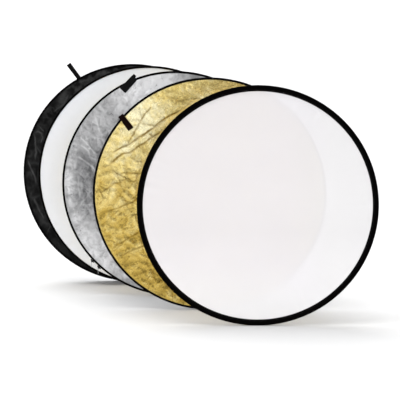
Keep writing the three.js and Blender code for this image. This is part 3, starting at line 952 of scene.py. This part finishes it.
def make_slider(disc, letter, deg):
    body = f"{disc}_slider_{letter}"
    node = f"{disc}_zip_slider_{letter}"
    flip = -1 if letter == "a" else 1
    parts = []

    def piece(outline, low, high, axis, bevel):
        bm = bmesh.new()
        made = []
        for v in (low, high):
            made.append([bm.verts.new({"w": (a, b, v), "n": (a, v, b)}[axis]) for a, b in outline])
        bm.faces.new(made[0][::-1])
        bm.faces.new(made[1])
        for i in range(len(outline)):
            j = (i + 1) % len(outline)
            bm.faces.new((made[0][i], made[0][j], made[1][j], made[1][i]))
        bmesh.ops.recalc_face_normals(bm, faces=bm.faces)
        bmesh.ops.bevel(bm, geom=list(bm.edges), offset=bevel, segments=3, profile=0.6, affect="EDGES", clamp_overlap=True)
        ob = from_bmesh(f"{node}_part", bm, True)
        parts.append(ob)
        return ob

    plan = [(-11, -3.4), (-9.6, -4.6), (-6, -5), (5, -5), (9.2, -4.1), (11, -3.0),
            (11, 3.0), (9.2, 4.1), (5, 5), (-6, 5), (-9.6, 4.6), (-11, 3.4)]
    base = piece(plan, 1.75, 6.2, "w", 0.8)
    # a raised spine along the middle
    piece([(-8.2, -3.4), (7.8, -2.8), (7.8, 2.8), (-8.2, 3.4)], 5.6, 7.4, "w", 0.6)
    ear = [(-3.4, 5.9), (3.4, 5.9), (2.6, 9.4), (1.7, 11.5), (0.7, 12.2), (-0.7, 12.2), (-1.7, 11.5), (-2.6, 9.4)]
    for low, high in ((-4.4, -3.1), (3.1, 4.4)):
        piece(ear, low, high, "n", 0.3)
    t = np.arange(16) * 2 * np.pi / 16
    piece([(0.9 * math.cos(a), 10.2 + 0.9 * math.sin(a)) for a in t], -4.7, 4.7, "n", 0.12)
    for other in parts[1:]:
        m = base.modifiers.new("join", "BOOLEAN")
        m.operation = "UNION"
        m.solver = "EXACT"
        m.object = other
    applied(base)
    for other in parts[1:]:
        bpy.data.objects.remove(other)
    co = np.array([v.co for v in base.data.vertices])
    co[:, 0] *= flip
    base.data.vertices.foreach_set("co", place(at_rim(co, deg, R), disc).astype(np.float32).ravel())
    if flip < 0:
        base.data.flip_normals()
    base.data.update()
    base.data.set_sharp_from_angle(angle=math.radians(38))
    base.name = base.data.name = f"{node}_body"
    finish_piece(base, body, SLIDER, [node])
    check_outward(base)
    return base


def check_outward(ob):
    """A closed piece's faces point out."""
    bm = bmesh.new()
    bm.from_mesh(ob.data)
    if bm.calc_volume(signed=True) < 0:
        ob.data.flip_normals()
    bm.free()


def make_pull(disc, letter, deg):
    """A stamped tab with a rolled eye and a long slot, hanging straight down."""
    body = f"{disc}_pull_{letter}"
    node = f"{disc}_zip_pull_{letter}"
    # side outline: x across the thickness, z along the tab
    outline = []
    for d in np.linspace(118, 422, 17):
        a = math.radians(d)
        outline.append((2.05 * math.cos(a), 2.05 * math.sin(a)))
    outline += [(0.8, 3.0), (0.95, 9), (1.0, 26.2), (0.6, 27.0), (-0.6, 27.0), (-1.0, 26.2), (-0.95, 9), (-0.8, 3.0)]
    hole = [(1.25 * math.cos(a), 1.25 * math.sin(a)) for a in np.arange(16) * 2 * np.pi / 16]
    bm = bmesh.new()
    for y in (-2.6, 2.6):
        ring_v = [bm.verts.new((a, y, b)) for a, b in outline]
        hole_v = [bm.verts.new((a, y, b)) for a, b in hole]
        edges = [bm.edges.new((ring_v[i], ring_v[(i + 1) % len(ring_v)])) for i in range(len(ring_v))]
        edges += [bm.edges.new((hole_v[i], hole_v[(i + 1) % len(hole_v)])) for i in range(len(hole_v))]
        bmesh.ops.triangle_fill(bm, use_beauty=True, edges=edges)
        if y < 0:
            first = (ring_v, hole_v)
    for a, b in zip(first, (ring_v, hole_v)):
        for i in range(len(a)):
            j = (i + 1) % len(a)
            bm.faces.new((a[i], a[j], b[j], b[i]))
    bmesh.ops.recalc_face_normals(bm, faces=bm.faces)
    tab = from_bmesh(f"{node}_tab", bm)
    # the tab narrows above a rounded end: two side cutters and a slot
    cutters = []

    def cutter(points, low=-3, high=3):
        c = bmesh.new()
        made = [[c.verts.new((v, a, b)) for a, b in points] for v in (low, high)]
        c.faces.new(made[0][::-1])
        c.faces.new(made[1])
        for i in range(len(points)):
            j = (i + 1) % len(points)
            c.faces.new((made[0][i], made[0][j], made[1][j], made[1][i]))
        bmesh.ops.recalc_face_normals(c, faces=c.faces)
        ob = from_bmesh("cutter", c)
        m = tab.modifiers.new("cut", "BOOLEAN")
        m.operation, m.solver, m.object = "DIFFERENCE", "EXACT", ob
        cutters.append(ob)

    slot = [(1.15 * math.cos(a), 22.2 + 1.15 * math.sin(a)) for a in np.radians(np.arange(0, 181, 20))]
    slot += [(1.15 * math.cos(a), 14.5 + 1.15 * math.sin(a)) for a in np.radians(np.arange(180, 361, 20))]
    cutter(slot)
    for s in (-1, 1):
        cutter([(s * 1.7, 4.2), (s * 1.7, 9.0), (s * 2.6, 13.0), (s * 4, 13.0), (s * 4, 2.6), (s * 2.6, 2.6)])
        corner = [(s * 4, 28), (s * 0.9, 28), (s * 0.9, 27.2)]
        corner += [(s * (0.3 + 2.1 * math.cos(a)), 24.9 + 2.1 * math.sin(a)) for a in np.radians(np.arange(80, -1, -16))]
        corner += [(s * 4, 24.9)]
        cutter(corner)
    applied(tab)
    for c in cutters:
        bpy.data.objects.remove(c)
    b = tab.modifiers.new("edge", "BEVEL")
    b.width, b.segments, b.limit_method, b.angle_limit = 0.14, 2, "ANGLE", math.radians(40)
    applied(tab)
    co = np.array([v.co for v in tab.data.vertices])
    a = math.radians(deg)
    pin = np.array([560.2 * math.cos(a), 0, 560.2 * math.sin(a)])
    # +z of the tab points down the disc
    pts = pin + np.stack([-co[:, 0], co[:, 1], -co[:, 2]], -1)
    tab.data.vertices.foreach_set("co", place(pts, disc).astype(np.float32).ravel())
    tab.data.update()
    tab.data.shade_smooth()
    tab.data.set_sharp_from_angle(angle=math.radians(35))
    tab.name = tab.data.name = f"{node}_tab"
    finish_piece(tab, body, PULL, [node])
    check_outward(tab)
    return tab


def make_zip(disc, middle):
    """The closed chain: a woven tape with two rows of coil, interlocked by turns."""
    half = 97.0
    length = math.radians(2 * half) * R
    pitch = 2.4
    count = int(length / pitch)
    per = 4
    angles = np.radians(np.linspace(middle - half, middle + half, count * per + 1))
    phase = np.linspace(0, count, count * per + 1) * 2 * np.pi
    rows = [(-2.1, 548.9, 0), (-1.65, 549.25, 0), (-1.3, 549.75, -1), (-0.55, 550.0, -1), (0, 549.9, 0.0),
            (0.55, 550.0, 1), (1.3, 549.75, 1), (1.65, 549.25, 0), (2.1, 548.9, 0), (1.2, 548.4, 0), (-1.2, 548.4, 0)]
    f = np.array([r[0] for r in rows])
    r = np.array([r[1] for r in rows])
    s = np.array([r[2] for r in rows], float)
    ridge = np.where(s[None, :] != 0, 0.42 * np.cos(phase[:, None] + np.where(s > 0, 0, np.pi)[None, :]), 0.0)
    rr = r[None, :] + ridge
    ff = np.broadcast_to(f, rr.shape)
    p = np.stack([rr * np.cos(angles)[:, None], ff, rr * np.sin(angles)[:, None]], -1).reshape(-1, 3)
    k = len(rows)
    last = (len(angles) - 1) * k
    faces = [grid_faces(len(angles), k, False, True), np.arange(k)[::-1], last + np.arange(k)]
    verts = place(p, disc, True)
    ob = new_mesh(f"{disc}_zip_coil", verts, outward(verts, faces))
    return finish_piece(ob, f"{disc}_disc", COIL, [f"{disc}_zip_chain"])


def ribbon(name, disc, root, direction, path, width, thick, splay=(0.0, 0.0), waist=(1.0, 0.0)):
    """A strap swept along path, (s, n) points in mm: s along the strap, n in front.
    splay turns the layer that goes out and the one that comes back, in degrees.
    waist is how narrow it is bunched where it rounds the rim, and how far aside."""
    path = np.asarray(path, float)
    # an even, smooth path by Catmull-Rom
    q = np.concatenate([path[:1] * 2 - path[1:2], path, path[-1:] * 2 - path[-2:-1]])
    fine = []
    for i in range(1, len(q) - 2):
        n = max(3, int(np.hypot(*(q[i + 1] - q[i])) / 1.6))
        t = np.linspace(0, 1, n, endpoint=False)[:, None]
        a, b, c, d = q[i - 1], q[i], q[i + 1], q[i + 2]
        fine.append(0.5 * ((2 * b) + (-a + c) * t + (2 * a - 5 * b + 4 * c - d) * t**2 + (-a + 3 * b - 3 * c + d) * t**3))
    fine = np.concatenate([*fine, q[-2:-1]])
    m = len(fine)
    tangent = np.gradient(fine, axis=0)
    tangent /= np.linalg.norm(tangent, axis=1)[:, None]
    normal = np.stack([-tangent[:, 1], tangent[:, 0]], -1)
    h, e = width / 2, thick / 2
    cols = []
    across = np.linspace(-1, 1, 13)
    edge = 0.35
    for w in across:
        cols.append((w * (h - edge), e * (1 - 0.06 * math.cos(w * 9))))
    top = cols
    bottom = [(w, -t) for w, t in cols[::-1]]
    section = [*top, (h, 0.0), *bottom, (-h, 0.0)]
    section = np.array(section)
    turning = int(np.argmax(fine[:, 0]))
    share = np.clip(fine[:, 0] / fine[:, 0].max(), 0, 1)
    twist = np.where(np.arange(m) <= turning, math.radians(splay[0]), math.radians(splay[1])) * share
    near = np.clip(1 - np.abs(np.arange(m) - turning) / 6, 0, 1)
    average = math.radians(sum(splay) / 2)
    twist = twist * (1 - near) + average * near
    a = math.radians(direction)
    along, side = np.array([math.cos(a), 0, math.sin(a)]), np.array([-math.sin(a), 0, math.cos(a)])
    out = np.array([0, 1.0, 0])
    origin = np.array([root[0], 0, root[1]])
    s = fine[:, 0][:, None] + normal[:, 0][:, None] * section[:, 1][None, :]
    n = fine[:, 1][:, None] + normal[:, 1][:, None] * section[:, 1][None, :]
    full = smooth01((fine[:, 0] - 1) / 13)[:, None]
    w = section[:, 0][None, :] * (waist[0] + (1 - waist[0]) * full) + waist[1] * (1 - full)
    # each layer swings in the disc's plane about the root
    ct, st = np.cos(twist)[:, None], np.sin(twist)[:, None]
    s2, w2 = s * ct - w * st, s * st + w * ct
    p = origin + s2[..., None] * along + w2[..., None] * side + n[..., None] * out
    k = len(section)
    last = (m - 1) * k
    faces = [grid_faces(m, k, False, True), np.arange(k)[::-1], last + np.arange(k)]
    verts = place(p.reshape(-1, 3), disc)
    return new_mesh(name, verts, outward(verts, faces))


STRAPS = {
    "gold": (138.3, 556, 307.3, 77, 26.5, "face", (-1.6, 1.2)),
    "silver": (110.1, 557, 227.2, 92, 34, "face", (-0.8, 0.6)),
    "white": (52, 556, 240, 88, 25, "face", (-1.5, 1.5)),
    "black": (119.2, 552.2, 126.5, 84, 21.5, "rim", (0.6, -0.6)),
}


def make_strap(disc):
    at, radius, towards, length, width, kind, splay = STRAPS[disc]
    root = (radius * math.cos(math.radians(at)), radius * math.sin(math.radians(at)))
    node = f"{disc}_hang_strap"
    material, slot = (BROWN, "brown_webbing") if disc == "gold" else (WEBBING, "webbing")
    a = math.radians(towards)
    along = np.array([math.cos(a), 0, math.sin(a)])
    origin = np.array([root[0], 0, root[1]])
    if kind == "face":
        off = math.cos(math.radians(towards - at - 180))  # how fast the strap leaves the rim
        deep = (radius - 549.0) / max(off, 0.3)
        path = [
            (deep, 0.7), (deep * 0.3, 0.9), (-1.2, 1.9), (-2.3, 4.4), (-1.0, 7.0), (3.5, 7.75), (12, 7.7),
            (30, 7.65), (55, 7.75), (length - 8, 7.7), (length - 2.0, 7.75), (length - 0.4, 8.35),
            (length - 2.0, 8.98), (length - 8, 9.0), (55, 9.05), (30, 8.98), (12, 9.05), (2.5, 9.3), (-2.9, 8.0),
            (-3.9, 4.4), (-2.7, 0.9), (deep * 0.3, -0.7), (deep, -0.6),
        ]
        start, end = (1.0, 3.0), (7.0, 12.0)
    else:
        path = [
            (-3.4, 0.62), (2, 0.64), (20, 0.7), (45, 0.78), (length - 8, 0.66), (length - 2, 0.6), (length - 0.5, 0.0),
            (length - 2, -0.6), (length - 8, -0.66), (45, -0.78), (20, -0.7), (2, -0.64), (-3.4, -0.62),
        ]
        start, end = (-1.5, 0.0), (7.0, 0.0)
    ob = ribbon(f"{node}_webbing", disc, root, towards, path, width, 1.15, splay, (0.48, -7.0) if disc == "silver" else (1.0, 0.0))
    finish_piece(ob, f"{disc}_disc", material, [node])
    ob.parent = None

    def point(s, n):
        return tuple(place([origin + along * s + np.array([0, n, 0])], disc)[0])

    point(*start)
    point(*end)
    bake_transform(ob)
    return ob


# ---------------------------------------------------------------------------
# A covered disc
# ---------------------------------------------------------------------------
def busy(low, side=1):
    """How crumpled a foil face is: most of all low down and towards the left."""

    def value(x, z):
        return float(min(1.0, max(0.08, low - z / 520 * 0.62 + 0.18 * math.sin(x / 90) * math.cos(z / 70))))

    return value


HEIGHTS = {
    "gold": lambda x, z: foil_height(x, z, GOLD_LINES, 101, busy(0.5), 1.0, 190),
    "silver": lambda x, z: foil_height(x, z, SILVER_LINES, 202, busy(0.34), 0.8, 120),
}


def plain_height(x, z, seed, size, lines=(), count=0):
    h = cloth_height(x, z, seed, size)
    more = random_creases(seed, count, lambda a, b: 1.0, (40, 150), (0.2, 0.7), (3.5, 7), (0.25, 0.8), slant=1.8, spread=0.8) if count else []
    c, mark = crease_lines(x, z, [*lines, *more])
    if count:  # a soft cloth's crinkles, marked paler along their lines: partly wear, partly painted sheen
        for size, amount, k in ((80, 1.0, 1), (38, 0.7, 2), (19, 0.35, 3)):
            line = ridged(x, z, size, seed + k)
            h += amount * (line**4 - 0.2)
            mark = np.maximum(mark, 0.34 * line**9 * smooth01(smooth_noise(x, z, 60, seed + k + 5) * 2.4 - 0.7))
    return h + c, mark


COVERS = {
    # front slot, back slot, where the sliders meet
    "gold": ("gold", "silver", 315.0),
    "silver": ("silver", "gold", 225.15),
    "white": ("white", "black", 298.0),
    "black": ("black", "white", 340.0),
}


def painted_reflection_map(base, spots):
    """A smooth map of painted reflection on a foil face, deep at 0 and pale at 1: (x, up, radius, amount) spots."""

    def value(x, z):
        t = np.full(x.shape, base)
        for cx, cz, radius, amount in spots:
            t += amount * np.exp(-(((x - cx) ** 2 + (z - cz) ** 2) / radius**2))
        return t

    return value


# painted reflection: each foil front is paler where it is painted as reflecting bright studio and deeper where painted
# as reflecting dark
GOLD_PAINTED_REFLECTION = painted_reflection_map(0.14, [(-325, 362, 120, 0.72), (-278, 409, 90, 0.15), (-429, 212, 110, 0.22), (-350, 230, 90, 0.15),
                           (-420, 60, 110, 0.16), (-500, -60, 90, -0.05), (-330, -390, 180, -0.27), (-60, 490, 150, 0.24),
                           (180, -120, 220, 0.4), (60, 300, 160, 0.3)])
SILVER_PAINTED_REFLECTION = painted_reflection_map(0.12, [(-72, 470, 150, 0.85), (-217, 436, 120, 0.36), (-363, 267, 130, 0.3), (-462, -20, 110, -0.12),
                             (-488, -300, 120, 0.32), (-330, -420, 150, 0.32), (-535, 20, 60, 0.3), (150, 60, 260, 0.35),
                             (-486, 168, 28, 0.3), (-507, 105, 28, 0.3), (-517, 40, 28, 0.28), (-516, -28, 28, 0.28),
                             (-506, -95, 28, 0.26), (-488, -160, 30, 0.22), (-432, 128, 46, -0.14), (-440, -70, 60, -0.08)])
FACES = {
    "gold": ("gold_foil", GOLD, 3.6, 5.2, HEIGHTS["gold"], GOLD_PAINTED_REFLECTION),
    "silver": ("silver_foil", SILVER, 3.8, 5.2, HEIGHTS["silver"], SILVER_PAINTED_REFLECTION),
    "white": ("white_cloth", WHITE, 6.0, 7.0, lambda x, z: plain_height(x, z, 303, 0.8), None),
    "black": ("black_cloth", BLACK, 4.6, 6.5, lambda x, z: plain_height(x, z, 404, 0.9, BLACK_LINES, 70), None),
}


def make_cover(disc):
    front, back, middle = COVERS[disc]
    body = f"{disc}_disc"
    for side, face, word in ((1, front, "front"), (-1, back, "back")):
        slot, material, fine, coarse, height, tone = FACES[face]
        face_panel(disc, side, f"{disc}_{word}_panel", material, fine if side > 0 else coarse, height, tone)

    seed = {"gold": 11, "silver": 12, "white": 13, "black": 14}[disc]
    gather = wobble_of(seed, 70, 320, 40, 0.13)
    drift = wobble_of(seed + 50, 3, 20, 12, 0.3 if disc != "black" else 0.9)
    edge = [(540.1, 5.95), (539.8, 6.35), (540.3, 6.62), (543, 6.75), (546.5, 6.8), (548.6, 6.55), (549.6, 5.9),
            (550.0, 4.9), (550.0, 2.5), (549.7, 2.3), (549.2, 2.4), (549.15, 4.7), (548.8, 5.5), (548.0, 5.9),
            (546.4, 6.05), (543, 5.98)]

    def shift(t, r, f):
        inner = np.clip((550 - r) / 10, 0, 1)
        return drift(t) * (0.35 + 0.65 * inner) * np.where(r > 549.4, 0.3, 1), gather(t) * np.sign(f) * np.clip(np.abs(f) - 3, 0, 1) * 0.8

    for side, word in ((1, "front"), (-1, "back")):
        section = [(r, f * side) for r, f in edge]
        tape = ring(f"{disc}_{word}_binding_tape", disc, section, 600, shift=shift)
        finish_piece(tape, body, TAPE, [f"{disc}_{word}_binding"])
    seam = [(548.4, -2.4), (549.3, -2.3), (549.75, -1.5), (549.8, -0.7), (549.35, 0), (549.8, 0.7), (549.75, 1.5),
            (549.3, 2.3), (548.4, 2.4)]
    shut = ring(f"{disc}_rim_seam", disc, seam, 480, (middle + 97.05, middle - 97.05 + 360))
    finish_piece(shut, body, TAPE)
    sewing = stitches(f"{disc}_binding_stitching", disc, [(541.9, 6.72, 1), (541.9, 6.72, -1)])
    finish_piece(sewing, body, THREAD)
    make_zip(disc, middle)
    gap = math.degrees(0.4 / 545.5)
    band = ring(f"{disc}_spring_band", disc, [(545.0, -4), (546.0, -4), (546.0, 4), (545.0, 4)], 360, (gap, 360 - gap), floor=False)
    finish_piece(band, body, STEEL, [f"{disc}_spring_hoop"])
    make_splice(disc, 0, f"{disc}_hoop_splice", body)
    pts, faces = round_sheet(543.5, 13)
    x, z = pts[:, 0], pts[:, 1]
    verts = place(np.stack([x, cloth_height(x, z, seed + 70, 0.5), z], -1), disc)
    core = new_mesh(f"{disc}_core_cloth", verts, [faces])
    finish_piece(core, body, DIFFUSER, [f"{disc}_core_panel"])
    for letter, deg in (("a", middle - 2.35), ("b", middle + 2.35)):
        make_slider(disc, letter, deg)
        make_pull(disc, letter, deg)
    make_strap(disc)


make_diffuser()
make_splice("diffuser", 180, "diffuser_hoop_splice", "diffuser")
for _d in COVERS:
    make_cover(_d)

# ---------------------------------------------------------------------------
# Stage, light and camera
# ---------------------------------------------------------------------------
scene = bpy.context.scene
SKY_SIDE, SKY_TOP, SKY_BACK, FRONT_DIM, STRIP = 1.0, 1.2, 1.1, 0.62, 1.1
KEY, FILL = 6.2, 12.0


def make_stage():
    me = bpy.data.meshes.new("floor")
    s = 60
    me.from_pydata([(-s, -s, -0.0004), (s, -s, -0.0004), (s, s, -0.0004), (-s, s, -0.0004)], [], [(0, 1, 2, 3)])
    ob = bpy.data.objects.new("floor", me)
    scene.collection.objects.link(ob)
    n = Nodes("floor_paper")
    p = n.principled(Base_Color=n.ramp(n.noise(0.7, 2, 0.5), [(0.3, (0.376, 0.376, 0.378)), (0.7, (0.386, 0.386, 0.388))]))
    p.inputs["Roughness"].default_value = 0.9
    p.inputs["Specular IOR Level"].default_value = 0.1
    me.materials.append(n.finish(p))


def area_light(name, location, target, size, power, spread=180, colour=(1, 1, 1)):
    data = bpy.data.lights.new(name, "AREA")
    data.shape = "RECTANGLE"
    data.size, data.size_y = size
    data.energy = power
    data.color = colour
    data.spread = math.radians(spread)
    ob = bpy.data.objects.new(name, data)
    ob.location = location
    ob.rotation_mode = "QUATERNION"
    ob.rotation_quaternion = (Vector(target) - Vector(location)).to_track_quat("-Z", "Y")
    scene.collection.objects.link(ob)
    return ob


make_stage()
world = bpy.data.worlds.new("studio")
scene.world = world
world.use_nodes = True
tree = world.node_tree
tree.nodes.clear()


def world_node(kind, operation=None, *values):
    """A node of the world's tree; values are numbers or sockets for its inputs."""
    n = tree.nodes.new(kind)
    if operation:
        n.operation = operation
    for k, v in enumerate(values):
        if isinstance(v, bpy.types.NodeSocket):
            tree.links.new(v, n.inputs[k])
        else:
            n.inputs[k].default_value = v
    return n.outputs[0]


def world_step(v, low, high, to_low, to_high):
    n = tree.nodes.new("ShaderNodeMapRange")
    n.interpolation_type = "SMOOTHSTEP"
    tree.links.new(v, n.inputs["Value"])
    for key, value in zip(("From Min", "From Max", "To Min", "To Max"), (low, high, to_low, to_high)):
        n.inputs[key].default_value = value
    return n.outputs[0]


# A white cyclorama, brightest overhead, with dim open studio behind the camera
# and two tall strip lights standing in it.
direction = tree.nodes.new("ShaderNodeTexCoord")
axes = tree.nodes.new("ShaderNodeSeparateXYZ")
tree.links.new(direction.outputs["Generated"], axes.inputs[0])
wx, wy, wz = axes.outputs
sky = world_node("ShaderNodeMath", "MULTIPLY", world_step(wz, 0.15, 0.85, SKY_SIDE, SKY_TOP), world_step(wy, 0.0, 0.6, 1.0, SKY_BACK))
front = world_step(world_node("ShaderNodeMath", "MULTIPLY", wy, -1.0), 0.35, 0.8, 0, 1)
low_band = world_step(wz, 0.3, 0.6, 1, 0)
dim = world_node("ShaderNodeMath", "MULTIPLY", front, low_band)
strip = world_step(world_node("ShaderNodeMath", "ABSOLUTE", world_node("ShaderNodeMath", "SUBTRACT", wx, -0.36)), 0.05, 0.13, STRIP, 0)
strip2 = world_step(world_node("ShaderNodeMath", "ABSOLUTE", world_node("ShaderNodeMath", "SUBTRACT", wx, 0.3)), 0.03, 0.09, STRIP * 0.8, 0)
strips = world_node("ShaderNodeMath", "MULTIPLY", world_node("ShaderNodeMath", "ADD", strip, strip2), dim)
dimmed = world_node("ShaderNodeMath", "SUBTRACT", 1.0, world_node("ShaderNodeMath", "MULTIPLY", dim, FRONT_DIM))
strength = world_node("ShaderNodeMath", "ADD", world_node("ShaderNodeMath", "MULTIPLY", sky, dimmed), strips)
bg = tree.nodes.new("ShaderNodeBackground")
bg.inputs["Color"].default_value = (1, 1, 1, 1)
tree.links.new(strength, bg.inputs["Strength"])
wout = tree.nodes.new("ShaderNodeOutputWorld")
tree.links.new(bg.outputs[0], wout.inputs["Surface"])

# The key is a wide overhead softbox, a little behind, so a short soft shadow falls to the front.
sun = bpy.data.lights.new("key_light", "SUN")
sun.energy = KEY
sun.angle = math.radians(60)
key = bpy.data.objects.new("key_light", sun)
az, el = math.radians(-66), math.radians(70)
towards = Vector((math.sin(az) * math.cos(el), math.cos(az) * math.cos(el), math.sin(el)))
key.location = towards * 6
key.rotation_mode = "QUATERNION"
key.rotation_quaternion = towards.to_track_quat("Z", "Y")
scene.collection.objects.link(key)
area_light("fill_softbox", (-2.8, -4.6, 3.4), (0, 0, 0.5), (1.6, 1.6), FILL)

cam_data = bpy.data.cameras.new("camera")
cam = bpy.data.objects.new("camera", cam_data)
scene.collection.objects.link(cam)
cam.location = (0.038, -8.75086, 2.039)
cam.rotation_euler = (math.radians(79.991), 0, 0)
cam_data.sensor_width = 36
cam_data.lens = 1853 / 400 * 36
cam_data.clip_end = 200
cam_data.clip_start = 0.1
scene.camera = cam
scene.view_settings.view_transform = "Standard"
scene.view_settings.look = "None"
